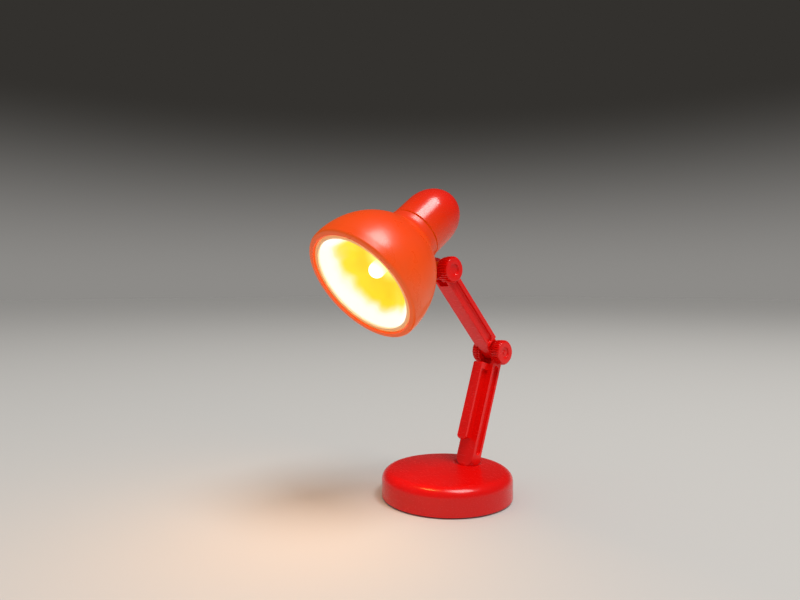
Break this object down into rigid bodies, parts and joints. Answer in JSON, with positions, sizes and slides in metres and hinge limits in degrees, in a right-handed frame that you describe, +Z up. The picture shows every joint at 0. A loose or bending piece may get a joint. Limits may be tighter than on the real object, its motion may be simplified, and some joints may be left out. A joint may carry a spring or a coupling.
{
  "type": "mini table lamp",
  "caption": "Small battery table lamp: round weighted base, jointed swing arm with knurled knobs, bell shade with a lit diode in a pale reflector, and a twist cap that switches it.",
  "frame": {"origin": "centre of the base's resting face, on the table", "axes": "+Z up, the light shines towards -Y, and the arm's hinge axes run along X"},
  "size_m": [0.043, 0.0749, 0.1004],
  "materials": {
    "red_abs": "moulded red plastic, satin gloss",
    "white_reflector": "moulded pale plastic, glossy",
    "led_epoxy": "cast clear resin, lit warm white",
    "steel": "bright zinc-plated steel",
    "brass": "stamped spring brass",
    "black_plastic": "moulded dark plastic",
    "circuit_board": "green lacquered board"
  },
  "bodies": {
    "base": {"base_shell": "red_abs", "base_plate": "red_abs", "base_weight": "steel", "base_screws": "steel"},
    "lower_arm": {"lower_arm": "red_abs", "swivel_washer": "steel", "swivel_screw": "steel", "elbow_bolt": "steel", "elbow_knob_left": "red_abs", "elbow_washers": "steel"},
    "elbow_knob": {"elbow_knob_right": "red_abs", "elbow_nut": "steel"},
    "upper_arm": {"upper_arm": "red_abs", "head_bolt": "steel", "head_knob_left": "red_abs", "head_washers": "steel"},
    "head_knob": {"head_knob_right": "red_abs", "head_nut": "steel"},
    "head": {"shade": "red_abs", "reflector": "white_reflector", "led": "led_epoxy", "led_leads": "steel", "led_board": "circuit_board", "battery_holder": "black_plastic", "front_contact": "brass", "button_cells": "steel"},
    "cap": {"twist_cap": "red_abs", "cap_contact": "brass"}
  },
  "joints": [
    {"name": "arm_swivel", "type": "hinge", "parent": "base", "child": "lower_arm", "pos_m": [0, 0.01, 0], "axis": [0, 0, 1], "continuous": true},
    {"name": "elbow_bend", "type": "hinge", "parent": "lower_arm", "child": "upper_arm", "pos_m": [0, 0.02266, 0.04618], "axis": [1, 0, 0], "range_deg": [-60, 30]},
    {"name": "elbow_knob_turn", "type": "hinge", "parent": "lower_arm", "child": "elbow_knob", "pos_m": [0, 0.02266, 0.04618], "axis": [1, 0, 0], "range_deg": [-90, 90]},
    {"name": "head_tilt", "type": "hinge", "parent": "upper_arm", "child": "head", "pos_m": [0, -0.00276, 0.07442], "axis": [1, 0, 0], "range_deg": [-60, 50]},
    {"name": "head_knob_turn", "type": "hinge", "parent": "upper_arm", "child": "head_knob", "pos_m": [0, -0.00276, 0.07442], "axis": [1, 0, 0], "range_deg": [-90, 90]},
    {"name": "cap_twist", "type": "hinge", "parent": "head", "child": "cap", "pos_m": [0, -0.03631, 0.06897], "axis": [0, 0.7934, 0.6088], "range_deg": [-60, 0]}
  ]
}
